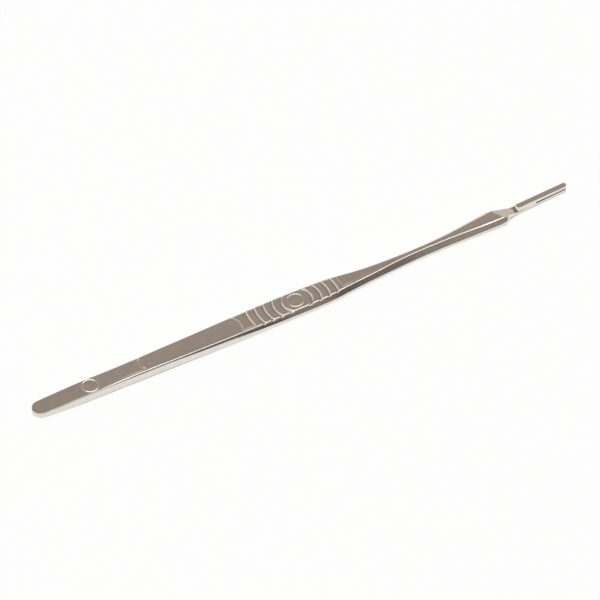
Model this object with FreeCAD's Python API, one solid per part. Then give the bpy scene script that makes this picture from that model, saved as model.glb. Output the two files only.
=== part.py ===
"""Long scalpel handle: one piece of stainless steel, lying flat on its side.

X runs along the handle from the rounded rear end to the tip of the blade fitting, Y across its
width towards the spine, Z up through its thickness. The handle is shaped about its mid-plane and
then set down, so that the origin is under the middle of its bounding box, on the surface that it
lies on. All sizes are in millimetres.
"""
import FreeCAD
import Part
import math
import os
from collections import namedtuple

Vector = FreeCAD.Vector

# Overall size
OVERALL_LENGTH = 210.0
THICKNESS = 4.1

# Rounding along the handle: where the broad faces end, and where the slanted edges meet the sides
FACE_EDGE_RADIUS = 1.0
SIDE_EDGE_RADIUS = 0.5

# A corner's rounding takes at most this share of the shorter side beside it
CORNER_SHARE = 0.45

# The forging is this much thicker on each face before both are ground flat
GROUND_OFF = 0.01

# Widths along the handle; the grip has one width at both of its ends and swells between them
REAR_WIDTH = 6.2
PANEL_REAR_WIDTH = 6.6
GRIP_WIDTH = 9.6
NECK_WIDTH = 4.3
SHOULDER_WIDTH = 7.6

# Places along the handle: the grip's from the rear end, the neck's and the shoulder's from the tip
BEVEL_START = 33.0
GRIP_START = 84.0
GRIP_END = 115.5
NECK_TO_TIP = 56.0
SHOULDER_TO_TIP = 30.0

# How far each width has changed at the stations between them, as a share of the change
PANEL_REAR_SHARE = 0.9
GRIP_SHARE = 0.33
GRIP_BEVEL_SHARE = 0.45
NECK_SHARES = [(0.2, 0.63), (0.5, 0.25), (0.8, 0.05)]
SHOULDER_SHARES = [(0.4, 0.25), (0.8, 0.79)]

# Slanted edges between the broad faces and the sides
REAR_BEVEL = 0.22
GRIP_BEVEL = 1.1
NECK_BEVEL_WIDTH = 1.5
NECK_BEVEL_HEIGHT = 1.3

# Rear end: rounded in plan and a little thinner
REAR_CORNER_RADIUS = 3.0
REAR_END_THICKNESS = 2.0
REAR_TAPER_LENGTH = 18.0

# The front third bends a little towards the spine, and the blade fitting a little more
BEND_START = 134.0
BEND_ANGLE = 1.6
FITTING_ANGLE = 2.8
FITTING_OFFSET = 0.3

# Broad faces lie lower wherever nothing stands out from them
RELIEF_DEPTH = 0.35
RELIEF_WALL_RUN = 0.25

# Raised panel behind the grip
PANEL_START = 41.4
PANEL_END = 79.5
PANEL_END_RADIUS = 4.9

# Plain raised ring near the rear end
RING_PLACE = 21.9
RING_OUTER_DIAMETER = 6.0
RING_LINE_WIDTH = 0.45
RING_HEIGHT = 0.2

# Grip: ribs curve round a disc in its middle
DISC_PLACE = 101.3
DISC_DIAMETER = 5.8
DISC_LINE_WIDTH = 0.45
DISC_LINE_FLOOR_WIDTH = 0.15
DISC_LINE_DEPTH = 0.2
FIRST_GROOVE_RADIUS = 5.4
RIB_PITCH = 3.2
RIBS_EACH_SIDE = 4
GROOVE_WIDTH = 1.5
GROOVE_FLOOR_WIDTH = 0.7
GROOVE_DEPTH = 0.42

# Neck faces rise from the grip's foot to full thickness
NECK_RISE_END = 140.0
NECK_FOOT_THICKNESS = 3.2

# Ramp from the shoulder down to the blade's seat, on a fold that runs askew across the handle
FOLD_TO_TIP = 28.6
SKEW_ANGLE = 27.0
SEAT_TO_TIP = 21.0
SEAT_DEPTH = 2.45
UNDERSIDE_RAMP_LENGTH = 3.0
UNDERSIDE_STEP = 0.4

# The shoulder sweeps in to the blade fitting, earlier on the spine side than on the other
SPINE_SWEEP_TO_TIP = 27.4
EDGE_SWEEP_TO_TIP = 22.6
SPINE_ROOT = 2.2
EDGE_ROOT = 1.42
SWEEP_RADIUS = 4.0
SHOULDER_CORNER_RADIUS = 1.2
FRONT_EDGE_RADIUS = 0.25

# Blade fitting: its base, and on it a head with sides that lean in
FITTING_TIP_WIDTH = 2.1
TIP_CHAMFER = 0.6
HEAD_LENGTH = 20.9
HEAD_HEIGHT = 1.62
HEAD_TOP_WIDTH = 1.6
HEAD_FOOT_WIDTH = 2.45
HEAD_CHAMFER = 0.12
GROOVED_LENGTH = 12.9
SLOT_HEIGHT = 0.5
SLOT_NECK_WIDTH = 1.2

# Cutting tools reach this far past the metal
CLEAR = 2.0

# Derived values
NECK_PLACE = OVERALL_LENGTH - NECK_TO_TIP
SHOULDER_PLACE = OVERALL_LENGTH - SHOULDER_TO_TIP
FOLD_PLACE = OVERALL_LENGTH - FOLD_TO_TIP
SEAT_START = OVERALL_LENGTH - SEAT_TO_TIP
SPINE_SWEEP_END = OVERALL_LENGTH - SPINE_SWEEP_TO_TIP
EDGE_SWEEP_END = OVERALL_LENGTH - EDGE_SWEEP_TO_TIP
HEAD_REAR = OVERALL_LENGTH - HEAD_LENGTH
TOP = THICKNESS / 2.0
SEAT_LEVEL = TOP - SEAT_DEPTH
UNDERSIDE_LEVEL = UNDERSIDE_STEP - TOP
HEAD_TOP_LEVEL = SEAT_LEVEL + HEAD_HEIGHT
GRIP_RADIUS = FIRST_GROOVE_RADIUS + RIB_PITCH * RIBS_EACH_SIDE - GROOVE_WIDTH / 2.0
SKEW = math.tan(math.radians(SKEW_ANGLE))
REACH = GRIP_WIDTH
SKY = TOP + CLEAR

Station = namedtuple("Station", "x width bevel_width bevel_height")


def between(start, end, share):
    """Value that lies this share of the way from start to end."""
    return start + share * (end - start)


def axis_y(x):
    """Height of the centre line above the X axis in plan: straight, then bent to the spine."""
    return max(0.0, x - BEND_START) * math.tan(math.radians(BEND_ANGLE))


def on_fitting_axis(shape):
    """Turn a shape that was built along the X axis onto the axis of the blade fitting."""
    turned = shape.copy()
    turned.rotate(Vector(SHOULDER_PLACE, 0, 0), Vector(0, 0, 1), FITTING_ANGLE)
    turned.translate(Vector(0, axis_y(SHOULDER_PLACE) + FITTING_OFFSET, 0))
    return turned


def rounded_wire(x, corners):
    """Closed wire across the handle at x, through (y, z, radius) corners that are rounded off."""
    points = [Vector(x, y, z) for y, z, _ in corners]
    count = len(points)
    starts, arcs, ends = [], [], []
    for index, corner in enumerate(points):
        before = points[index - 1] - corner
        after = points[(index + 1) % count] - corner
        half_turn = (math.pi - before.getAngle(after)) / 2.0
        room = CORNER_SHARE * min(before.Length, after.Length)
        reach = min(corners[index][2] * math.tan(half_turn), room)
        start = corner + before.normalize() * reach
        end = corner + after.normalize() * reach
        inward = (before + after).normalize()
        arc_radius = reach / math.tan(half_turn)
        middle = corner + inward * (arc_radius / math.cos(half_turn) - arc_radius)
        starts.append(start)
        arcs.append(Part.Arc(start, middle, end).toShape())
        ends.append(end)
    edges = []
    for index in range(count):
        edges.append(arcs[index])
        edges.append(Part.LineSegment(ends[index], starts[(index + 1) % count]).toShape())
    return Part.Wire(edges)


def section(station):
    """Cross-section of the handle: broad faces, slanted edges and upright sides."""
    centre = axis_y(station.x)
    half = station.width / 2.0
    top = TOP + GROUND_OFF
    flat = half - station.bevel_width
    side = top - station.bevel_height
    outline = [(flat, top, FACE_EDGE_RADIUS), (half, side, SIDE_EDGE_RADIUS),
               (half, -side, SIDE_EDGE_RADIUS), (flat, -top, FACE_EDGE_RADIUS)]
    corners = outline + [(-y, z, radius) for y, z, radius in reversed(outline)]
    return rounded_wire(station.x, [(centre + y, z, radius) for y, z, radius in corners])


def body_stations():
    """Stations of the rear half, from the rounded end to the end of the grip."""
    middle = (BEVEL_START + GRIP_START) / 2.0
    panel_rear = between(REAR_WIDTH, PANEL_REAR_WIDTH, PANEL_REAR_SHARE)
    panel_middle = between(PANEL_REAR_WIDTH, GRIP_WIDTH, GRIP_SHARE)
    plan = [(0.0, REAR_WIDTH, REAR_BEVEL), (BEVEL_START, panel_rear, REAR_BEVEL),
            (middle, panel_middle, GRIP_BEVEL_SHARE * GRIP_BEVEL),
            (GRIP_START, GRIP_WIDTH, GRIP_BEVEL), (GRIP_END, GRIP_WIDTH, GRIP_BEVEL)]
    return [Station(x, width, bevel, bevel) for x, width, bevel in plan]


def neck_stations():
    """Stations of the front half, from the end of the grip over the neck to the shoulder."""
    plan = [(between(GRIP_END, NECK_PLACE, along), between(NECK_WIDTH, GRIP_WIDTH, left))
            for along, left in NECK_SHARES]
    plan += [(NECK_PLACE, NECK_WIDTH)]
    plan += [(between(NECK_PLACE, SHOULDER_PLACE, along), between(NECK_WIDTH, SHOULDER_WIDTH, share))
             for along, share in SHOULDER_SHARES]
    plan += [(SHOULDER_PLACE, SHOULDER_WIDTH)]
    start = Station(GRIP_END, GRIP_WIDTH, GRIP_BEVEL, GRIP_BEVEL)
    return [start] + [Station(x, width, NECK_BEVEL_WIDTH, NECK_BEVEL_HEIGHT) for x, width in plan]


def loft(stations):
    """Smooth solid through the cross-sections at the stations."""
    return Part.makeLoft([section(station) for station in stations], True, False)


def rounded_rear():
    """Keeps the handle's plan: the rear end has rounded corners, the rest is left alone."""
    half = REAR_WIDTH / 2.0
    block = Part.makeBox(OVERALL_LENGTH, REAR_WIDTH, 2 * SKY, Vector(0, -half, -SKY))
    uprights = [edge for edge in block.Edges
                if abs(edge.tangentAt(edge.FirstParameter).z) > 0.5 and edge.CenterOfMass.x < half]
    block = block.makeFillet(REAR_CORNER_RADIUS, uprights)
    wide = Part.makeBox(OVERALL_LENGTH, 2 * REACH, 2 * SKY, Vector(REAR_CORNER_RADIUS, -REACH, -SKY))
    return block.fuse(wide).removeSplitter()


def wall_cone(x, radius):
    """Upright solid with a sloped wall that leaves a broad face at this radius round x."""
    slope = RELIEF_WALL_RUN / RELIEF_DEPTH
    foot = TOP - 2 * RELIEF_DEPTH
    return Part.makeCone(radius + slope * (TOP - foot), radius - slope * (SKY - TOP),
                         SKY - foot, Vector(x, 0, foot))


def panel():
    """Raised panel that reaches across the face, with ends that curve outwards."""
    rear = PANEL_START + PANEL_END_RADIUS
    front = PANEL_END - PANEL_END_RADIUS
    middle = Part.makeBox(front - rear, 2 * PANEL_END_RADIUS, SKY, Vector(rear, -PANEL_END_RADIUS, 0))
    return middle.fuse([wall_cone(rear, PANEL_END_RADIUS), wall_cone(front, PANEL_END_RADIUS)])


def ring():
    """Plain raised ring on the low face near the rear end."""
    top = TOP - RELIEF_DEPTH + RING_HEIGHT
    outer = RING_OUTER_DIAMETER / 2.0
    disc = Part.makeCylinder(outer, top, Vector(RING_PLACE, 0, 0))
    return disc.cut(Part.makeCylinder(outer - RING_LINE_WIDTH, top, Vector(RING_PLACE, 0, 0)))


def broad_cut(side):
    """Solid over a side outline of (x, z) points, drawn straight across the handle."""
    corners = [Vector(x, -REACH, z) for x, z in side]
    return Part.Face(Part.makePolygon(corners + corners[:1])).extrude(Vector(0, 2 * REACH, 0))


def ground_faces():
    """Everything between the two flat broad faces."""
    end = OVERALL_LENGTH + CLEAR
    return broad_cut([(-CLEAR, TOP), (end, TOP), (end, -TOP), (-CLEAR, -TOP)])


def relief():
    """What is milled off a broad face behind the grip, round the panel."""
    low = TOP - RELIEF_DEPTH
    taper = (low - REAR_END_THICKNESS / 2.0) / REAR_TAPER_LENGTH
    block = broad_cut([(-CLEAR, low - taper * (REAR_TAPER_LENGTH + CLEAR)), (REAR_TAPER_LENGTH, low),
                       (DISC_PLACE, low), (DISC_PLACE, SKY), (-CLEAR, SKY)])
    return block.cut([panel(), wall_cone(DISC_PLACE, GRIP_RADIUS)])


def neck_relief():
    """What is milled off a broad face in front of the grip: deepest at the last rib."""
    foot = DISC_PLACE + GRIP_RADIUS
    slope = (THICKNESS - NECK_FOOT_THICKNESS) / 2.0 / (NECK_RISE_END - foot)
    low = TOP - slope * (NECK_RISE_END - DISC_PLACE)
    high = TOP + slope * CLEAR
    end = NECK_RISE_END + CLEAR
    wedge = broad_cut([(DISC_PLACE, low), (end, high), (end, SKY), (DISC_PLACE, SKY)])
    return wedge.cut(wall_cone(DISC_PLACE, GRIP_RADIUS))


def round_groove(radius, width, floor_width, depth):
    """Groove with sloped walls that runs in a circle round the grip's disc."""
    slope = (width - floor_width) / 2.0 / depth
    top = width / 2.0 + slope * CLEAR
    profile = [(radius - top, TOP + CLEAR), (radius - floor_width / 2.0, TOP - depth),
               (radius + floor_width / 2.0, TOP - depth), (radius + top, TOP + CLEAR)]
    corners = [Vector(DISC_PLACE + reach, 0, z) for reach, z in profile]
    face = Part.Face(Part.makePolygon(corners + corners[:1]))
    return face.revolve(Vector(DISC_PLACE, 0, 0), Vector(0, 0, 1), 360)


def grip_grooves():
    """Grooves between the ribs, and the fine line that marks the disc."""
    grooves = [round_groove(FIRST_GROOVE_RADIUS + RIB_PITCH * count, GROOVE_WIDTH,
                            GROOVE_FLOOR_WIDTH, GROOVE_DEPTH) for count in range(RIBS_EACH_SIDE)]
    line = round_groove(DISC_DIAMETER / 2.0, DISC_LINE_WIDTH, DISC_LINE_FLOOR_WIDTH,
                        DISC_LINE_DEPTH)
    return grooves + [line]


def skewed_cut(side):
    """Solid over a side outline of (x, z) points, drawn out across the handle along the fold."""
    corners = [Vector(x + REACH * SKEW, -REACH, z) for x, z in side]
    face = Part.Face(Part.makePolygon(corners + corners[:1]))
    return face.extrude(Vector(-2 * REACH * SKEW, 2 * REACH, 0))


def seat_cut():
    """What is milled off above the ramp and the blade's seat."""
    slope = SEAT_DEPTH / (SEAT_START - FOLD_PLACE)
    end = OVERALL_LENGTH + REACH
    return skewed_cut([(FOLD_PLACE - CLEAR / slope, SKY), (SEAT_START, SEAT_LEVEL),
                       (end, SEAT_LEVEL), (end, SKY)])


def underside_cut():
    """What is milled off under the blade fitting."""
    slope = UNDERSIDE_STEP / UNDERSIDE_RAMP_LENGTH
    end = OVERALL_LENGTH + REACH
    return skewed_cut([(SEAT_START - UNDERSIDE_RAMP_LENGTH - CLEAR / slope, -SKY),
                       (SEAT_START, UNDERSIDE_LEVEL), (end, UNDERSIDE_LEVEL), (end, -SKY)])


def sweep(side, root, end):
    """Plan edges down one side of the front: flank, shoulder corner, sweep and blade fitting."""
    flank = SHOULDER_WIDTH / 2.0 - side * FITTING_OFFSET
    tip = FITTING_TIP_WIDTH / 2.0
    turn = math.acos(1.0 - (flank - root) / (SHOULDER_CORNER_RADIUS + SWEEP_RADIUS))
    start = end - (SHOULDER_CORNER_RADIUS + SWEEP_RADIUS) * math.sin(turn)

    def corner_point(angle):
        return Vector(start + SHOULDER_CORNER_RADIUS * math.sin(angle),
                      side * (flank - SHOULDER_CORNER_RADIUS * (1.0 - math.cos(angle))), 0)

    def sweep_point(angle):
        return Vector(end - SWEEP_RADIUS * math.sin(angle),
                      side * (root + SWEEP_RADIUS * (1.0 - math.cos(angle))), 0)

    first = [Vector(NECK_PLACE, 0, 0), Vector(NECK_PLACE, side * flank, 0), corner_point(0.0)]
    last = [sweep_point(0.0), Vector(OVERALL_LENGTH - TIP_CHAMFER, side * tip, 0),
            Vector(OVERALL_LENGTH, side * (tip - TIP_CHAMFER), 0), Vector(OVERALL_LENGTH, 0, 0)]
    arcs = [Part.Arc(corner_point(0.0), corner_point(turn / 2.0), corner_point(turn)),
            Part.Arc(sweep_point(turn), sweep_point(turn / 2.0), sweep_point(0.0))]
    lines = [Part.makeLine(a, b) for points in (first, last) for a, b in zip(points, points[1:])]
    return lines + [arc.toShape() for arc in arcs]


def front_plan():
    """Upright solid over the plan of the front, from the neck to the tip."""
    edges = sweep(1, SPINE_ROOT, SPINE_SWEEP_END) + sweep(-1, EDGE_ROOT, EDGE_SWEEP_END)
    outline = Part.Wire(Part.__sortEdges__(edges))
    outline.translate(Vector(0, 0, -SKY))
    return Part.Face(outline).extrude(Vector(0, 0, 2 * SKY))


def tilt(face):
    """How far a face looks up: 1 for up, -1 for down and 0 for an upright face."""
    low_u, high_u, low_v, high_v = face.ParameterRange
    return face.normalAt((low_u + high_u) / 2.0, (low_v + high_v) / 2.0).z


def rounded_front(shape):
    """Round the long edges of the front, between its upright sides and the ramp and seat."""
    edges = []
    for edge in shape.Edges:
        tilts = sorted(tilt(face) for face in shape.ancestorsOfType(edge, Part.Face))
        if edge.BoundBox.XMin > SHOULDER_PLACE and abs(tilts[0]) < 0.01 and tilts[-1] > 0.9:
            edges.append(edge)
    return shape.makeFillet(FRONT_EDGE_RADIUS, edges)


def head_bar(x_start, outline):
    """Bar from x_start to the tip over one half of its cross-section, given as (y, z) points."""
    corners = [Vector(x_start, y, z) for y, z in outline + [(-y, z) for y, z in reversed(outline)]]
    bar = Part.Face(Part.makePolygon(corners + corners[:1]))
    return bar.extrude(Vector(OVERALL_LENGTH - x_start, 0, 0))


def head_half_width(level):
    """Half the width of the leaning head at this level."""
    foot = HEAD_FOOT_WIDTH / 2.0
    return between(foot, HEAD_TOP_WIDTH / 2.0 + HEAD_CHAMFER, (level - SEAT_LEVEL) / HEAD_HEIGHT)


def fitting_head():
    """Narrow head on the seat: round at its rear, undercut by a groove on each side in front."""
    foot = SEAT_LEVEL - UNDERSIDE_STEP
    brow = HEAD_TOP_LEVEL - HEAD_CHAMFER
    wide = head_half_width(foot)
    high = head_half_width(brow)
    crown = HEAD_TOP_WIDTH / 2.0
    end = HEAD_REAR + wide
    rear = Part.makeCone(wide, high, brow - foot, Vector(end, 0, foot))
    crest = Part.makeCone(high, crown, HEAD_CHAMFER, Vector(end, 0, brow))
    bar = head_bar(end, [(wide, foot), (high, brow), (crown, HEAD_TOP_LEVEL)])
    return rear.fuse([crest, bar]).cut(side_grooves())


def side_grooves():
    """The two grooves for the edges of the blade's slot, from the tip back."""
    length = GROOVED_LENGTH + CLEAR
    width = HEAD_FOOT_WIDTH
    start = Vector(OVERALL_LENGTH - GROOVED_LENGTH, SLOT_NECK_WIDTH / 2.0, SEAT_LEVEL)
    groove = Part.makeBox(length, width, SLOT_HEIGHT, start)
    return [groove, groove.mirror(Vector(0, 0, 0), Vector(0, 1, 0))]


def both_faces(tool):
    """The tool for the upper face, and its mirror image for the lower face."""
    return [tool, tool.mirror(Vector(0, 0, 0), Vector(0, 0, 1))]


def blank():
    """The forging: both lofts, with the shoulder's section carried on past the tip."""
    stations = neck_stations()
    length = OVERALL_LENGTH - SHOULDER_PLACE + CLEAR
    nose = Part.Face(section(stations[-1])).extrude(Vector(length, 0, 0))
    return loft(body_stations()).fuse([loft(stations), nose])


def set_down(shape):
    """Move the handle so that the origin is under the middle of its bounding box."""
    box = shape.optimalBoundingBox(False, False)
    shape.translate(Vector(-box.Center.x, -box.Center.y, -box.ZMin))
    return shape


def handle():
    """The whole handle as one solid."""
    rear_plan = Part.makeBox(NECK_PLACE, 2 * REACH, 2 * SKY, Vector(0, -REACH, -SKY))
    plan = on_fitting_axis(front_plan())
    shape = blank().common(rounded_rear()).common(ground_faces()).common(plan.fuse(rear_plan))
    shape = rounded_front(shape.cut([on_fitting_axis(seat_cut()), on_fitting_axis(underside_cut())]))
    tools = [relief().cut(ring()), both_faces(relief())[1]]
    for tool in [neck_relief()] + grip_grooves():
        tools += both_faces(tool)
    shape = shape.cut(tools).fuse(on_fitting_axis(fitting_head()).common(plan))
    return set_down(shape.removeSplitter()).Solids[0]


if __name__ == "__main__":
    os.makedirs("parts", exist_ok=True)
    part = handle()
    part.exportStep("parts/handle.step")
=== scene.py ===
"""Dresses the long scalpel handle: satin stainless steel, a white table and soft studio light."""
import logging
import math
from dataclasses import dataclass
from enum import Enum

import bmesh
import bpy
import numpy as np
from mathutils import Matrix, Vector
from mathutils.bvhtree import BVHTree


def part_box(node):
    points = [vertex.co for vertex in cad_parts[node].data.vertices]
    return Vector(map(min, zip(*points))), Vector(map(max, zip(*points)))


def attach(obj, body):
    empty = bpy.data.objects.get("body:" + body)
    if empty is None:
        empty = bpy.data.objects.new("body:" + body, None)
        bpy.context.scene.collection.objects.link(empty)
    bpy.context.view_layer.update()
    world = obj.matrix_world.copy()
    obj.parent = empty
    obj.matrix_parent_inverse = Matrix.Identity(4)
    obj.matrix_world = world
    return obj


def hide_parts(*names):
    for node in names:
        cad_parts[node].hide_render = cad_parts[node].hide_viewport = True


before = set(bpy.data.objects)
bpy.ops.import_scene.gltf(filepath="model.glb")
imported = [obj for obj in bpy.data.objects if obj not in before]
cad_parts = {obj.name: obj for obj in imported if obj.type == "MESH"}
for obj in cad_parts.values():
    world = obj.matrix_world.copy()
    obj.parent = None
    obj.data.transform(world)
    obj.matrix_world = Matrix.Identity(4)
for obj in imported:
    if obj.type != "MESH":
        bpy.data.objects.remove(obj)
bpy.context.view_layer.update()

LOG = logging.getLogger("scalpel_handle")

MM = 0.001

Rgb = tuple[float, float, float]
Point = tuple[float, float, float]

WHITE: Rgb = (1.0, 1.0, 1.0)


class RayKind(Enum):
    """Kinds of ray that see the table and the backdrop as plain white."""

    CAMERA = "Is Camera Ray"
    GLOSSY = "Is Glossy Ray"
    TRANSMISSION = "Is Transmission Ray"


class Blend(Enum):
    """Ways in which two values or colours are put together."""

    MULTIPLY = "MULTIPLY"
    HIGHER = "MAXIMUM"


class NodeKit:
    """Adds nodes to one tree and links them as it goes."""

    def __init__(self, tree: bpy.types.NodeTree) -> None:
        """Keep the tree.

        Args:
            tree: The node tree to add to.
        """
        self.tree = tree

    def add(self, kind: str, **settings: object) -> bpy.types.Node:
        """Add one node.

        Args:
            kind: The node's type name.
            **settings: Attributes to set on it.

        Returns:
            The node.
        """
        node = self.tree.nodes.new(kind)
        for name, value in settings.items():
            setattr(node, name, value)
        return node

    def link(self, source: bpy.types.NodeSocket, target: bpy.types.NodeSocket) -> None:
        """Join an output to an input.

        Args:
            source: The output socket.
            target: The input socket.
        """
        self.tree.links.new(source, target)

    def noise(self, place: bpy.types.NodeSocket, size: float, detail: float,
              roughness: float = 0.5) -> bpy.types.NodeSocket:
        """Cloudy noise.

        Args:
            place: Coordinates, in metres.
            size: Width of one cloud, in metres.
            detail: Octaves of finer noise.
            roughness: Strength of the finer octaves.

        Returns:
            The noise's value, about 0.5 on average.
        """
        node = self.add("ShaderNodeTexNoise")
        node.inputs["Scale"].default_value = 1.0 / size
        node.inputs["Detail"].default_value = detail
        node.inputs["Roughness"].default_value = roughness
        self.link(place, node.inputs["Vector"])
        return node.outputs["Fac"]

    def spread(self, value: bpy.types.NodeSocket, low: float, high: float,
               start: float = 0.3, end: float = 0.7) -> bpy.types.NodeSocket:
        """Map a value onto a range, with its ends held.

        Args:
            value: The value to map.
            low: The result at start.
            high: The result at end.
            start: Where the range starts.
            end: Where the range ends.

        Returns:
            The mapped value.
        """
        node = self.add("ShaderNodeMapRange")
        node.inputs["From Min"].default_value = start
        node.inputs["From Max"].default_value = end
        node.inputs["To Min"].default_value = low
        node.inputs["To Max"].default_value = high
        self.link(value, node.inputs["Value"])
        return node.outputs["Result"]

    def mix(self, share: bpy.types.NodeSocket, first: Rgb, second: Rgb) -> bpy.types.NodeSocket:
        """Blend two plain colours.

        Args:
            share: How much of the second colour to take.
            first: The first colour.
            second: The second colour.

        Returns:
            The blended colour.
        """
        node = self.add("ShaderNodeMix", data_type="RGBA")
        node.inputs["A"].default_value = (*first, 1.0)
        node.inputs["B"].default_value = (*second, 1.0)
        self.link(share, node.inputs["Factor"])
        return node.outputs["Result"]

    def mix_over(self, share: bpy.types.NodeSocket, first: bpy.types.NodeSocket,
                 second: Rgb) -> bpy.types.NodeSocket:
        """Blend a colour from a socket with a plain one.

        Args:
            share: How much of the second colour to take.
            first: The first colour.
            second: The second colour.

        Returns:
            The blended colour.
        """
        node = self.add("ShaderNodeMix", data_type="RGBA")
        node.inputs["B"].default_value = (*second, 1.0)
        self.link(share, node.inputs["Factor"])
        self.link(first, node.inputs["A"])
        return node.outputs["Result"]

    def together(self, blend: Blend, first: bpy.types.NodeSocket,
                 second: bpy.types.NodeSocket) -> bpy.types.NodeSocket:
        """Combine two values.

        Args:
            blend: How they are put together.
            first: The first value.
            second: The second value.

        Returns:
            The combined value.
        """
        node = self.add("ShaderNodeMath", operation=blend.value)
        self.link(first, node.inputs[0])
        self.link(second, node.inputs[1])
        return node.outputs[0]

    def plain_rays(self, kinds: tuple[RayKind, ...]) -> bpy.types.NodeSocket:
        """Whether the ray is of one of these kinds.

        Args:
            kinds: The kinds of ray.

        Returns:
            A value that is 1 for them and 0 for the others.
        """
        path = self.add("ShaderNodeLightPath")
        total = path.outputs[kinds[0].value]
        for kind in kinds[1:]:
            total = self.together(Blend.HIGHER, total, path.outputs[kind.value])
        return total


@dataclass(frozen=True)
class SatinSteel:
    """Finish of stainless steel that was polished, then blasted to a fine satin.

    Lengths are in metres. Shade is painted into the colour of a recess where walls stand close round
    it.

    Attributes:
        bright: Colour of the well polished patches.
        dull: Colour of the duller patches.
        cloud_size: Width of a patch.
        cloud_detail: Octaves of finer patches.
        grain_size: Width of a grain of the satin.
        grain_detail: Octaves of finer grain.
        fine_strength: Strength of the finer octaves of both.
        smooth: Roughness of the smoothest grain.
        rough: Roughness of the dullest grain.
        wave_size: Width of a wave that the polishing left.
        wave_detail: Octaves of finer waves.
        wave_height: Height of the waves.
        grain_height: Height of the grain.
        shade: Colour of the shade painted into a deep recess.
        shade_reach: How far away a wall still shades.
        shade_start: Open share of the surroundings at which the painted shade begins.
        shade_full: Open share at which the painted shade is full.
        shade_samples: Number of rays that look for walls.
    """

    bright: Rgb = (0.80, 0.77, 0.72)
    dull: Rgb = (0.73, 0.70, 0.65)
    cloud_size: float = 0.0035
    cloud_detail: float = 4.0
    grain_size: float = 0.0004
    grain_detail: float = 3.0
    fine_strength: float = 0.6
    smooth: float = 0.17
    rough: float = 0.27
    wave_size: float = 0.0022
    wave_detail: float = 2.0
    wave_height: float = 0.000008
    grain_height: float = 0.0000006
    shade: Rgb = (0.16, 0.14, 0.125)
    shade_reach: float = 0.0013
    shade_start: float = 0.97
    shade_full: float = 0.45
    shade_samples: int = 8

    def build(self) -> bpy.types.Material:
        """Make the material.

        Returns:
            The node material, in the object's own coordinates.
        """
        material = bpy.data.materials.new("satin_steel")
        material.use_nodes = True
        kit = NodeKit(material.node_tree)
        shader = material.node_tree.nodes["Principled BSDF"]
        shader.inputs["Metallic"].default_value = 1.0
        place = kit.add("ShaderNodeTexCoord").outputs["Object"]
        clouds = kit.noise(place, self.cloud_size, self.cloud_detail, self.fine_strength)
        grain = kit.noise(place, self.grain_size, self.grain_detail, self.fine_strength)
        polish = kit.mix(kit.spread(clouds, 0.0, 1.0), self.dull, self.bright)
        # Painted shade: where the ambient occlusion finds walls close by, the base colour is
        # darkened towards the shade colour.
        open_share = kit.add("ShaderNodeAmbientOcclusion", samples=self.shade_samples)
        open_share.inputs["Distance"].default_value = self.shade_reach
        painted_shade_share = kit.spread(open_share.outputs["AO"], 0.0, 1.0, self.shade_start, self.shade_full)
        kit.link(kit.mix_over(painted_shade_share, polish, self.shade), shader.inputs["Base Color"])
        kit.link(kit.spread(grain, self.smooth, self.rough), shader.inputs["Roughness"])
        ripple = kit.noise(place, self.wave_size, self.wave_detail)
        waves = self._bump(kit, ripple, self.wave_height)
        surface = self._bump(kit, grain, self.grain_height, waves)
        kit.link(surface, shader.inputs["Normal"])
        return material

    @staticmethod
    def _bump(kit: NodeKit, height: bpy.types.NodeSocket, depth: float,
              under: bpy.types.NodeSocket | None = None) -> bpy.types.NodeSocket:
        """Fine relief on the surface.

        Args:
            kit: The material's nodes.
            height: The relief's pattern.
            depth: Its height, in metres.
            under: A coarser relief that it lies on.

        Returns:
            The surface's direction.
        """
        node = kit.add("ShaderNodeBump")
        node.inputs["Distance"].default_value = depth
        kit.link(height, node.inputs["Height"])
        if under is not None:
            kit.link(under, node.inputs["Normal"])
        return node.outputs["Normal"]


@dataclass
class PhotoCamera:
    """Camera that looks at the handle as the photo does.

    Attributes:
        elevation: Angle at which it looks down on the table.
        plan_angle: Angle by which it stands turned round the handle.
        distance: Its distance from the handle, in metres.
        photo_width: Width and height of the photo, in pixels.
        pixels_per_metre: Scale of the photo.
        origin_column: Column at which the frame's origin shows.
        origin_row: Row at which the frame's origin shows.
        sensor_width: Width of the sensor, in millimetres.
        near_limit: Distance at which its view starts, in metres.
        far_limit: Distance at which its view ends, in metres.
    """

    elevation: float = math.radians(47.0)
    plan_angle: float = math.radians(29.332)
    distance: float = 2.5
    photo_width: float = 600.0
    pixels_per_metre: float = 2932.93
    origin_column: float = 305.10
    origin_row: float = 304.65
    sensor_width: float = 36.0
    near_limit: float = 0.05
    far_limit: float = 100.0

    def axes(self) -> tuple[Vector, Vector, Vector]:
        """The camera's directions in the frame.

        Returns:
            Its right, up and forward directions.
        """
        right = Vector((math.cos(self.plan_angle), -math.sin(self.plan_angle), 0.0))
        away = Vector((math.sin(self.plan_angle), math.cos(self.plan_angle), 0.0))
        rise = Vector((0.0, 0.0, 1.0))
        forward = away * math.cos(self.elevation) - rise * math.sin(self.elevation)
        up = away * math.sin(self.elevation) + rise * math.cos(self.elevation)
        return right, up, forward

    def build(self) -> bpy.types.Object:
        """Make the camera and give it to the scene.

        Returns:
            The camera object.
        """
        right, up, forward = self.axes()
        middle = self.photo_width / 2.0
        offset = right * (middle - self.origin_column) + up * (self.origin_row - middle)
        target = offset / self.pixels_per_metre
        data = bpy.data.cameras.new("photo_camera")
        data.sensor_width = self.sensor_width
        data.lens = self.pixels_per_metre * self.distance / self.photo_width * self.sensor_width
        data.clip_start = self.near_limit
        data.clip_end = self.far_limit
        camera = bpy.data.objects.new("photo_camera", data)
        camera.location = target - forward * self.distance
        camera.rotation_mode = "QUATERNION"
        camera.rotation_quaternion = forward.to_track_quat("-Z", "Y")
        bpy.context.collection.objects.link(camera)
        bpy.context.scene.camera = camera
        return camera


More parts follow.
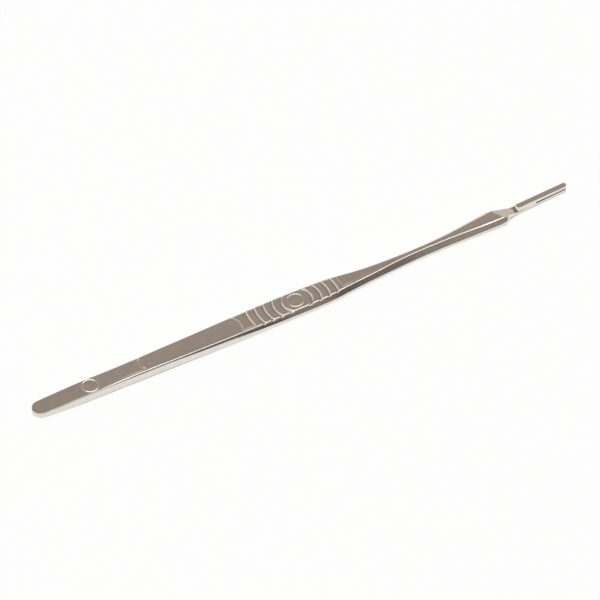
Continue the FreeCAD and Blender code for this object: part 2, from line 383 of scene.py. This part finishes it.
@dataclass(frozen=True)
class SoftBox:
    """Flat soft light that faces the handle.

    Attributes:
        name: Name of the light.
        place: Where it hangs, in metres.
        width: Its width, in metres.
        height: Its height, in metres.
        brightness: How bright its face is.
        color: Colour of its light.
    """

    name: str
    place: Point
    width: float
    height: float
    brightness: float
    color: Rgb = WHITE

    def build(self) -> bpy.types.Object:
        """Make the light; its power follows from its size and brightness.

        Returns:
            The light object.
        """
        data = bpy.data.lights.new(self.name, "AREA")
        data.shape = "RECTANGLE"
        data.size = self.width
        data.size_y = self.height
        data.color = self.color
        data.energy = self.brightness * self.width * self.height * math.pi
        light = bpy.data.objects.new(self.name, data)
        light.location = self.place
        light.rotation_mode = "QUATERNION"
        light.rotation_quaternion = (-Vector(self.place)).to_track_quat("-Z", "Y")
        light.visible_camera = False
        bpy.context.collection.objects.link(light)
        return light


@dataclass(frozen=True)
class Band:
    """Stretch of one direction over which a part of the room fades in.

    Attributes:
        axis: Axis of the direction.
        start: Where the part begins, on a scale from -1 to 1.
        end: Where the part is full; it may be the lower one.
        share: How strong the part is when full.
    """

    axis: str
    start: float
    end: float
    share: float = 1.0

    def build(self, kit: NodeKit, way: bpy.types.Node) -> bpy.types.NodeSocket:
        """The part's share for each way that a ray can take."""
        return kit.spread(way.outputs[self.axis], 0.0, self.share, self.start, self.end)


@dataclass
class Studio:
    """White table top, a dim warm room and soft boxes overhead and behind the rear end.

    The steel reflects the room, which is lighter at the back and has three dark parts.

    Attributes:
        floor_half: Half of the table's width, in metres.
        floor_drop: Gap between the table and the handle, in metres.
        floor_matt: Colour of the table in the light.
        floor_white: Share of plain white in what the camera sees of the table.
        room: Colour of most of the room.
        room_dark: Colour of its dark parts.
        room_far: Colour of its back.
        far_bands: Where the back is.
        low_band: Dark part low down in front.
        right_bands: Dark part at the front on the right.
        high_bands: Dark part high up on the right.
        boxes: The soft boxes.
    """

    floor_half: float = 4.0
    floor_drop: float = 0.00002
    floor_matt: Rgb = (0.9, 0.9, 0.9)
    floor_white: float = 0.95
    room: Rgb = (0.385, 0.325, 0.287)
    room_dark: Rgb = (0.045, 0.035, 0.03)
    room_far: Rgb = (0.70, 0.62, 0.56)
    far_bands: tuple[Band, Band] = (Band("Y", 0.1, 0.4), Band("Z", 0.55, 0.30))
    low_band: Band = Band("Y", -0.84, -0.93)
    right_bands: tuple[Band, Band] = (Band("Y", -0.3, -0.5), Band("X", 0.36, 0.46, share=0.8))
    high_bands: tuple[Band, Band] = (Band("Z", 0.76, 0.82, share=0.8), Band("X", 0.05, 0.25))
    boxes: tuple[SoftBox, ...] = (
        SoftBox("overhead_box", place=(0.0, -0.02, 1.5), width=3.0, height=1.15, brightness=1.6),
        SoftBox("rear_box", place=(-1.25, 1.1, 0.95), width=2.2, height=1.3, brightness=0.55))

    def build(self) -> None:
        """Make the floor, the surroundings and the lights."""
        self._floor()
        self._surroundings()
        for box in self.boxes:
            box.build()

    def _floor(self) -> None:
        """A wide white sheet under the handle, which keeps a faint shadow."""
        half = self.floor_half
        mesh = bpy.data.meshes.new("table_top")
        corners = [(x, y, -self.floor_drop)
                   for x, y in ((-half, -half), (half, -half), (half, half), (-half, half))]
        mesh.from_pydata(corners, [], [(0, 1, 2, 3)])
        floor = bpy.data.objects.new("table_top", mesh)
        bpy.context.collection.objects.link(floor)
        mesh.materials.append(self._table_paint())

    def _table_paint(self) -> bpy.types.Material:
        """Matt white that takes shadows and still looks plain white.

        Returns:
            The table's material.
        """
        material = bpy.data.materials.new("white_table")
        material.use_nodes = True
        material.node_tree.nodes.clear()
        kit = NodeKit(material.node_tree)
        matt = kit.add("ShaderNodeBsdfDiffuse")
        matt.inputs["Color"].default_value = (*self.floor_matt, 1.0)
        glow = kit.add("ShaderNodeEmission")
        glow.inputs["Color"].default_value = (*WHITE, 1.0)
        blend = kit.add("ShaderNodeMixShader")
        amount = kit.add("ShaderNodeMath", operation=Blend.MULTIPLY.value)
        amount.inputs[1].default_value = self.floor_white
        kit.link(kit.plain_rays(tuple(RayKind)), amount.inputs[0])
        kit.link(amount.outputs[0], blend.inputs["Fac"])
        kit.link(matt.outputs[0], blend.inputs[1])
        kit.link(glow.outputs[0], blend.inputs[2])
        output = kit.add("ShaderNodeOutputMaterial")
        kit.link(blend.outputs[0], output.inputs["Surface"])
        return material

    def _surroundings(self) -> None:
        """Dim warm room for the steel to reflect, which the camera sees as plain white."""
        world = bpy.data.worlds.new("studio")
        bpy.context.scene.world = world
        world.use_nodes = True
        kit = NodeKit(world.node_tree)
        room = world.node_tree.nodes["Background"]
        kit.link(self._room_color(kit), room.inputs["Color"])
        white = kit.add("ShaderNodeBackground")
        white.inputs["Color"].default_value = (*WHITE, 1.0)
        blend = kit.add("ShaderNodeMixShader")
        kit.link(kit.plain_rays((RayKind.CAMERA,)), blend.inputs["Fac"])
        kit.link(room.outputs[0], blend.inputs[1])
        kit.link(white.outputs[0], blend.inputs[2])
        kit.link(blend.outputs[0], world.node_tree.nodes["World Output"].inputs["Surface"])

    def _room_color(self, kit: NodeKit) -> bpy.types.NodeSocket:
        """The room's colour, lighter at the back and dark in its dark parts.

        Args:
            kit: The world's nodes.

        Returns:
            The colour.
        """
        way = kit.add("ShaderNodeSeparateXYZ")
        kit.link(kit.add("ShaderNodeTexCoord").outputs["Generated"], way.inputs[0])
        far, right, high = (
            kit.together(Blend.MULTIPLY, first.build(kit, way), second.build(kit, way))
            for first, second in (self.far_bands, self.right_bands, self.high_bands))
        side = kit.together(Blend.HIGHER, right, high)
        dark = kit.together(Blend.HIGHER, self.low_band.build(kit, way), side)
        return kit.mix_over(dark, kit.mix(far, self.room, self.room_far), self.room_dark)


@dataclass(frozen=True)
class Profile:
    """A size that changes along the handle, evenly from each place to the next.

    Attributes:
        places: Places along the handle.
        values: The size at each of them; before the first and after the last it stays the same.
    """

    places: tuple[float, ...]
    values: tuple[float, ...]

    def at(self, x: float | np.ndarray) -> float | np.ndarray:
        """The size at one place, or at several."""
        return np.interp(x, self.places, self.values)


@dataclass(frozen=True)
class HandleSizes:
    """Sizes of the handle in millimetres; X starts at the rear end and Z at the mid-plane.

    Attributes:
        top: Height of the raised faces.
        relief_depth: How far the low faces lie under the raised ones.
        wall_run: Width of the slope at the grip's ends.
        panel_wall_run: Width of the slope at the panel's ends.
        rear_end_top: Height of the face at the rear end.
        rear_taper: Length over which the rear end gets thinner.
        ring_place: Middle of the raised ring.
        ring_radius: Radius of the ring's line.
        ring_line: Width of the line at its foot.
        ring_crest: Width of the line at its top.
        ring_height: Height of the line.
        panel_start: Rear end of the raised panel.
        panel_end: Front end of the raised panel.
        panel_end_radius: Radius of both ends of the panel.
        disc_place: Middle of the disc on the grip.
        disc_radius: Radius of the line round the disc.
        disc_line: Width of that line.
        disc_line_depth: Depth of that line.
        first_groove: Radius of the groove next to the disc.
        rib_pitch: Distance from one groove to the next.
        grooves: Number of grooves on each side of the disc.
        groove_width: Width of a groove at the face.
        groove_floor: Width of a groove at its floor.
        groove_depth: Depth of a groove.
        run_out: Distance from the near edge within which the grooves run out.
        edge_depth: Share of a groove's depth that is left beyond that distance.
        neck_foot_top: Height of the face where the neck starts.
        neck_rise_end: Where the neck's face reaches full height.
        neck_start: Where the worn rim starts to give way to the neck's own edge.
        neck_full: Where it has given way.
        neck_ease: How far the neck's near edge is worn down.
        joint: Where this body meets the blade end.
        rim_width: Width of the worn rim inside the near edge.
        rim: Height of that rim, as a share of the step up to the raised faces.
        bevel_width: Width of the slanted edges.
        upper_bevel: Height of the slanted edge of the upper face.
        lower_bevel: Height of the slanted edge of the lower face.
        near_growth: How far the near side stands out from the solid's.
    """

    top: float = 2.05
    relief_depth: float = 0.35
    wall_run: float = 0.45
    panel_wall_run: float = 0.75
    rear_end_top: float = 1.0
    rear_taper: float = 18.0
    ring_place: float = 21.9
    ring_radius: float = 2.775
    ring_line: float = 0.45
    ring_crest: float = 0.1
    ring_height: float = 0.11
    panel_start: float = 41.4
    panel_end: float = 79.5
    panel_end_radius: float = 4.9
    disc_place: float = 101.3
    disc_radius: float = 2.9
    disc_line: float = 0.5
    disc_line_depth: float = 0.12
    first_groove: float = 5.4
    rib_pitch: float = 3.2
    grooves: int = 4
    groove_width: float = 1.5
    groove_floor: float = 0.6
    groove_depth: float = 0.42
    run_out: float = 0.7
    edge_depth: float = 0.08
    neck_foot_top: float = 1.6
    neck_rise_end: float = 140.0
    neck_start: float = 117.0
    neck_full: float = 132.0
    neck_ease: float = 0.025
    joint: float = 178.5
    rim_width: float = 1.7
    rim: Profile = Profile((22.0, 38.0, neck_start, neck_full), (0.0, 0.92, 0.92, 0.0))
    bevel_width: Profile = Profile(
        (0.00, 33.0, 48.0, 62.0, 75.0, 90.0, 105.0, 123.0, 145.0, 165.0, joint),
        (0.22, 0.24, 0.28, 0.45, 0.62, 0.95, 1.25, 1.60, 1.65, 1.57, 1.50))
    upper_bevel: Profile = Profile(
        (0.00, 33.0, 48.0, 62.0, 75.0, 90.0, 105.0, 123.0, 145.0, 165.0, joint),
        (0.22, 0.25, 0.40, 0.90, 1.30, 1.45, 1.50, 1.60, 1.75, 1.60, 1.30))
    lower_bevel: Profile = Profile(
        (0.00, 33.0, 48.0, 62.0, 75.0, 90.0, 105.0),
        (0.22, 0.50, 0.90, 1.05, 1.20, 1.25, 1.30))
    near_growth: Profile = Profile(
        (0.00, 10.0, 40.0, 62.0, 75.0, 98.0, 123.0, 145.0, 156.0, 165.0, joint),
        (0.00, 0.30, 0.60, 0.62, 0.46, 0.00, 0.12, 0.28, 0.48, 0.38, 0.00))

    @property
    def grip_radius(self) -> float:
        """Radius of the round ends of the grip."""
        return self.first_groove + self.rib_pitch * self.grooves - self.groove_width / 2.0


@dataclass(frozen=True)
class MeshSteps:
    """How finely the body is divided, and how soft its edges are, in millimetres.

    Attributes:
        coarse: Distance between sections where the faces are plain.
        fine: Distance between sections where they have detail.
        fine_zones: Stretches of the handle that have detail.
        rear_arc: Length of the rounded rear end.
        rear_steps: Number of sections in it.
        across: Number of points across a broad face.
        corner_steps: Number of steps round the corner under a slanted edge.
        side_steps: Number of steps down a side.
        side_level: Height at which the solid's sides are read.
        ray_start: Distance from the middle at which the reading rays start.
        rear_gap: Distance from the rear end at which the first ones pass.
        plan_step: Distance between the readings.
        plan_blur: Length over which the readings are smoothed.
        blur_reach: How many of these lengths the smoothing takes in.
        blur_start: Where the smoothing starts.
        blur_full: Where the smoothing is full.
        corner_reach: Size of the rounding under a slanted edge.
        least_edge: Least height left for a slanted edge.
        softness: Size of the rounding between a slanted edge and the face.
    """

    coarse: float = 1.0
    fine: float = 0.13
    fine_zones: tuple[tuple[float, float], ...] = (
        (18.4, 25.4), (40.6, 46.6), (74.0, 80.4), (83.0, 119.6))
    rear_arc: float = 3.0
    rear_steps: int = 16
    across: int = 56
    corner_steps: int = 4
    side_steps: int = 2
    side_level: float = -0.6
    ray_start: float = 20.0
    rear_gap: float = 0.05
    plan_step: float = 0.25
    plan_blur: float = 1.0
    blur_reach: float = 3.0
    blur_start: float = 3.0
    blur_full: float = 9.0
    corner_reach: float = 0.25
    least_edge: float = 0.15
    softness: Profile = Profile((20.0, 36.0, 84.0, 105.0, 123.0, 165.0, 178.5),
                                (0.10, 0.50, 0.62, 0.42, 0.24, 0.26, 0.40))


def soft_step(value: float | np.ndarray, start: float, end: float) -> float | np.ndarray:
    """Rise smoothly from 0 at start to 1 at end.

    Args:
        value: The value or values to map.
        start: Where the result is 0.
        end: Where the result is 1; it may be the lower one.

    Returns:
        What they are mapped to.
    """
    share = np.clip((value - start) / (end - start), 0.0, 1.0)
    return share * share * (3.0 - 2.0 * share)


def soft_lower(first: np.ndarray, second: np.ndarray, radius: float) -> np.ndarray:
    """The lower of two heights, with the edge between them rounded off.

    Args:
        first: One surface's heights.
        second: The other's.
        radius: Difference in height below which the edge is rounded.

    Returns:
        The heights.
    """
    near = np.clip(radius - np.abs(first - second), 0.0, None) / radius
    return np.minimum(first, second) - near * near * radius / 4.0


@dataclass
class BroadFace:
    """The upper or the lower face; its heights are in millimetres from the mid-plane.

    Attributes:
        sizes: The handle's sizes.
        bevel: Height of the slanted edge along this face.
        with_ring: Whether the face has the raised ring.
    """

    sizes: HandleSizes
    bevel: Profile
    with_ring: bool

    def level(self, x: float, y: np.ndarray, inset: np.ndarray) -> np.ndarray:
        """Height of the face across one section.

        Args:
            x: Place of the section.
            y: Places across it.
            inset: How far they are inside the face's near edge.

        Returns:
            The heights.
        """
        face = self._milled(x, y, inset) - self._cuts(x, y, inset)
        if self.with_ring:
            face = face + self._ring(x, y)
        return face

    def floor(self, x: float) -> float:
        """Height of the milled face between the raised parts.

        Args:
            x: Place along the handle.

        Returns:
            The height.
        """
        sizes = self.sizes
        if x < sizes.disc_place:
            low = sizes.top - sizes.relief_depth
            share = max(0.0, 1.0 - x / sizes.rear_taper)
            return low - (low - sizes.rear_end_top) * share
        foot = sizes.disc_place + sizes.grip_radius
        share = (sizes.neck_rise_end - x) / (sizes.neck_rise_end - foot)
        return sizes.top - (sizes.top - sizes.neck_foot_top) * max(0.0, share)

    def _milled(self, x: float, y: np.ndarray, inset: np.ndarray) -> np.ndarray:
        """Height of the low and raised faces, before grooves and lines.

        Args:
            x: Place of the section.
            y: Places across it.
            inset: How far they are inside the face's near edge.

        Returns:
            The heights.
        """
        sizes = self.sizes
        floor = self.floor(x)
        near = soft_step(inset, sizes.rim_width, 0.0)
        grip = self._round_wall(x, y, sizes.disc_place, sizes.grip_radius, sizes.wall_run)
        raised = np.maximum(self._panel(x, y), grip)
        rim = sizes.rim.at(x)
        if rim > 0.0:
            raised = raised + (rim - raised) * near
        worn = sizes.neck_ease * near * soft_step(x, sizes.neck_start, sizes.neck_full)
        return floor + (sizes.top - floor) * raised - worn

    def _panel(self, x: float, y: np.ndarray) -> np.ndarray:
        """Share of full height on the raised panel, with its rounded ends.

        Args:
            x: Place of the section.
            y: Places across it.

        Returns:
            The shares.
        """
        sizes = self.sizes
        rear = sizes.panel_start + sizes.panel_end_radius
        front = sizes.panel_end - sizes.panel_end_radius
        nearest = min(max(x, rear), front)
        return self._round_wall(x, y, nearest, sizes.panel_end_radius, sizes.panel_wall_run)

    def _cuts(self, x: float, y: np.ndarray, inset: np.ndarray) -> np.ndarray:
        """Depth of the grooves on the grip and of the line round the disc.

        Args:
            x: Place of the section.
            y: Places across it.
            inset: How far they are inside the face's near edge.

        Returns:
            The depths.
        """
        sizes = self.sizes
        reach = np.hypot(x - sizes.disc_place, y)
        run_out = soft_step(inset, -sizes.run_out, sizes.run_out)
        depth = sizes.groove_depth * (sizes.edge_depth + (1.0 - sizes.edge_depth) * run_out)
        cut = sizes.disc_line_depth * self._line(reach - sizes.disc_radius, sizes.disc_line)
        for count in range(sizes.grooves):
            middle = sizes.first_groove + sizes.rib_pitch * count
            cut = cut + depth * self._line(reach - middle, sizes.groove_width, sizes.groove_floor)
        return cut

    def _ring(self, x: float, y: np.ndarray) -> np.ndarray:
        """Height of the ring over the face.

        Args:
            x: Place of the section.
            y: Places across it.

        Returns:
            The heights.
        """
        sizes = self.sizes
        distance = np.hypot(x - sizes.ring_place, y) - sizes.ring_radius
        return sizes.ring_height * self._line(distance, sizes.ring_line, sizes.ring_crest)

    @staticmethod
    def _round_wall(x: float, y: np.ndarray, middle: float, radius: float, run: float) -> np.ndarray:
        """Share of full height inside a circle whose wall slopes down just outside it."""
        return soft_step(np.hypot(x - middle, y), radius + run, radius)

    @staticmethod
    def _line(distance: np.ndarray, width: float, flat: float = 0.0) -> np.ndarray:
        """Share of full depth in a groove or on a raised line, at a distance from its middle."""
        return soft_step(np.abs(distance), width / 2.0, flat / 2.0)


@dataclass
class ForgedBody:
    """The handle from its rear end to the shoulder, as an even mesh with softly worn edges.

    Its plan is read from the CAD node. The broad faces follow the handle's own sizes.

    Attributes:
        solid: The CAD node.
        rear_x: The rear end's place in the frame, in metres.
        sizes: The handle's sizes.
        steps: How finely the mesh is divided.
    """

    solid: bpy.types.Object
    rear_x: float
    sizes: HandleSizes = HandleSizes()
    steps: MeshSteps = MeshSteps()

    def build(self) -> bpy.types.Mesh:
        """Make the mesh, open at the shoulder.

        Returns:
            The mesh, in the frame's metres.
        """
        places = self._stations()
        near, far = self._plan(places)
        upper = BroadFace(self.sizes, self.sizes.upper_bevel, with_ring=True)
        lower = BroadFace(self.sizes, self.sizes.lower_bevel, with_ring=False)
        points = []
        for x, y_near, y_far in zip(places, near, far):
            middle = (y_far + y_near) / 2.0
            half = (y_far - y_near) / 2.0
            for face, side in ((upper, 1.0), (lower, -1.0)):
                across, heights = self._half_section(face, x, middle, half, side)
                points += [(x, middle + side * y, side * z) for y, z in zip(across, heights)]
        mesh = bpy.data.meshes.new("forged_body")
        mesh.from_pydata([self._in_frame(point) for point in points], [],
                         self._faces(len(places), len(points) // len(places)))
        return mesh

    @staticmethod
    def _faces(rows: int, count: int) -> list[tuple[int, ...]]:
        """Faces from each section to the next, and one that closes the rear end.

        Args:
            rows: Number of sections.
            count: Number of points in each.

        Returns:
            The points of each face.
        """
        faces = [tuple(reversed(range(count)))]
        for start in range(0, (rows - 1) * count, count):
            for column in range(count):
                beside = (column + 1) % count
                faces.append((start + column, start + beside, start + count + beside,
                              start + count + column))
        return faces

    def _in_frame(self, point: Point) -> Point:
        """Place in the frame, in metres, of a point in the handle's millimetres."""
        x, y, z = point
        return self.rear_x + x * MM, y * MM, (z + self.sizes.top) * MM

    def _stations(self) -> np.ndarray:
        """Places of the cross-sections, closer where the faces have detail.

        Returns:
            The places, from the rear end to the joint.
        """
        steps = self.steps
        turns = np.linspace(0.0, math.pi / 2.0, steps.rear_steps)
        places = list(steps.rear_arc * (1.0 - np.cos(turns)))
        while places[-1] < self.sizes.joint:
            x = places[-1]
            fine = any(start <= x <= end for start, end in steps.fine_zones)
            places.append(min(x + (steps.fine if fine else steps.coarse), self.sizes.joint))
        return np.array(places)

    def _plan(self, places: np.ndarray) -> tuple[np.ndarray, np.ndarray]:
        """Both sides of the plan, read from the solid and smoothed between its facets.

        Args:
            places: Places of the cross-sections.

        Returns:
            The near side's and the far side's places across the handle.
        """
        steps = self.steps
        mesh = self.solid.data
        tree = BVHTree.FromPolygons([vertex.co for vertex in mesh.vertices],
                                    [polygon.vertices for polygon in mesh.polygons])
        reach = int(steps.blur_reach * steps.plan_blur / steps.plan_step)
        bell = np.exp(-0.5 * (np.arange(-reach, reach + 1) * steps.plan_step / steps.plan_blur) ** 2)
        end = self.sizes.joint + (steps.blur_reach + 1.0) * steps.plan_blur
        even = np.arange(0.0, end, steps.plan_step)
        smooth = soft_step(places, steps.blur_start, steps.blur_full)
        sides = []
        for direction in (1.0, -1.0):
            raw = [self._side(tree, min(x, self.sizes.joint), direction) for x in even]
            blurred = np.convolve(raw, bell / bell.sum(), mode="same")
            exact = np.array([self._side(tree, x, direction) for x in places])
            sides.append(exact + smooth * (np.interp(places, even, blurred) - exact))
        near, far = sides
        return near - self.sizes.near_growth.at(places), far

    def _side(self, tree: BVHTree, x: float, direction: float) -> float:
        """Read one side of the solid with a ray that comes from outside.

        Args:
            tree: The solid's faces.
            x: Place along the handle.
            direction: The ray's direction across the handle, 1 for the near side.

        Returns:
            The side's place across the handle.
        """
        steps = self.steps
        start = (max(x, steps.rear_gap), -direction * steps.ray_start, steps.side_level)
        hit = tree.ray_cast(Vector(self._in_frame(start)), Vector((0.0, direction, 0.0)))[0]
        return hit.y / MM

    def _half_section(self, face: BroadFace, x: float, middle: float, half: float,
                      side: float) -> tuple[np.ndarray, np.ndarray]:
        """Outline of one half of a cross-section, from one side over the broad face to the other.

        Args:
            face: The broad face.
            x: Place of the section.
            middle: The section's middle across the handle.
            half: Half of its width.
            side: 1 for the upper half and -1 for the lower.

        Returns:
            The points' places from the middle, and their heights.
        """
        sizes, steps = self.sizes, self.steps
        height = face.bevel.at(x)
        slope = height / sizes.bevel_width.at(x)
        brow = min(sizes.top - height, face.floor(x) - steps.least_edge)
        reach = min(steps.corner_reach, half / 2.0, sizes.top - brow)
        run = reach / math.hypot(1.0, slope)
        turn = np.linspace(0.0, 1.0, steps.corner_steps + 1)
        corner_y = half - run * turn ** 2
        corner_z = brow - reach * (1.0 - turn) ** 2 + run * slope * turn ** 2
        side_z = np.linspace(0.0, brow - reach, steps.side_steps + 1)[:-1]
        flat_y = np.linspace(corner_y[-1], -corner_y[-1], steps.across + 2)[1:-1]
        flat_z = brow + (half - np.abs(flat_y)) * slope
        across = np.concatenate([np.full(len(side_z), half), corner_y, flat_y, -corner_y[::-1],
                                 np.full(len(side_z) - 1, -half)])
        heights = np.concatenate([side_z, corner_z, flat_z, corner_z[::-1], side_z[:0:-1]])
        inset = half - (sizes.top - brow) / slope + side * across
        limit = face.level(x, middle + side * across, inset)
        return across, soft_lower(heights, limit, steps.softness.at(x))


@dataclass
class BladeEnd:
    """The shoulder's front and the blade fitting, from the CAD node, with its edges eased.

    Attributes:
        solid: The CAD node.
        joint_x: Where the front begins, in metres.
        flat_angle: Angle below which two faces count as one.
        sharp_angle: Angle above which an edge is eased.
        ease: Width of the eased edge, in metres.
        ease_steps: Number of steps round it.
        ease_profile: Its shape, 0.5 for a round one.
    """

    solid: bpy.types.Object
    joint_x: float
    flat_angle: float = math.radians(1.0)
    sharp_angle: float = math.radians(24.0)
    ease: float = 0.00005
    ease_steps: int = 2
    ease_profile: float = 0.5

    def add_to(self, body: bmesh.types.BMesh) -> None:
        """Add the front to the body's mesh.

        Args:
            body: The mesh to add to.
        """
        front = bmesh.new()
        front.from_mesh(self.solid.data)
        bmesh.ops.bisect_plane(front, geom=front.verts[:] + front.edges[:] + front.faces[:],
                               plane_co=(self.joint_x, 0.0, 0.0), plane_no=(1.0, 0.0, 0.0),
                               clear_inner=True)
        bmesh.ops.dissolve_limit(front, angle_limit=self.flat_angle, verts=front.verts[:],
                                 edges=front.edges[:])
        sharp = [edge for edge in front.edges
                 if len(edge.link_faces) == 2 and edge.calc_face_angle() > self.sharp_angle]
        bmesh.ops.bevel(front, geom=sharp, offset=self.ease, segments=self.ease_steps,
                        profile=self.ease_profile, affect="EDGES", clamp_overlap=True)
        mesh = bpy.data.meshes.new("blade_end")
        front.to_mesh(mesh)
        front.free()
        body.from_mesh(mesh)
        bpy.data.meshes.remove(mesh)


@dataclass
class HandleBody:
    """The one steel piece, which takes the place of the plain CAD node.

    Attributes:
        node: Name of the CAD node.
        finish_and_shade: The steel's material, with shade painted into its recesses.
    """

    node: str = "handle"
    finish_and_shade: SatinSteel = SatinSteel()

    def dress(self) -> bpy.types.Object:
        """Make the piece and give it its material, with shade painted into its recesses.

        Returns:
            The dressed object.
        """
        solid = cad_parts[self.node]
        rear_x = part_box(self.node)[0][0]
        body = ForgedBody(solid, rear_x)
        forged = body.build()
        shape = bmesh.new()
        shape.from_mesh(forged)
        BladeEnd(solid, rear_x + body.sizes.joint * MM).add_to(shape)
        mesh = bpy.data.meshes.new("polished_handle")
        shape.to_mesh(mesh)
        shape.free()
        bpy.data.meshes.remove(forged)
        mesh.shade_smooth()
        # The material paints shade into the recesses of the steel.
        mesh.materials.append(self.finish_and_shade.build())
        piece = bpy.data.objects.new("polished_handle", mesh)
        bpy.context.collection.objects.link(piece)
        normals = piece.modifiers.new("even_shading", "WEIGHTED_NORMAL")
        normals.keep_sharp = True
        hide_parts(self.node)
        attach(piece, "root")
        return piece


def main() -> None:
    """Build the camera, the studio and the handle, and report each piece."""
    logging.basicConfig(level=logging.INFO)
    bpy.context.scene.view_settings.view_transform = "Standard"
    PhotoCamera().build()
    Studio().build()
    piece = HandleBody().dress()
    LOG.info("%s: %d faces", piece.name, len(piece.data.polygons))


if __name__ == "__main__":
    main()
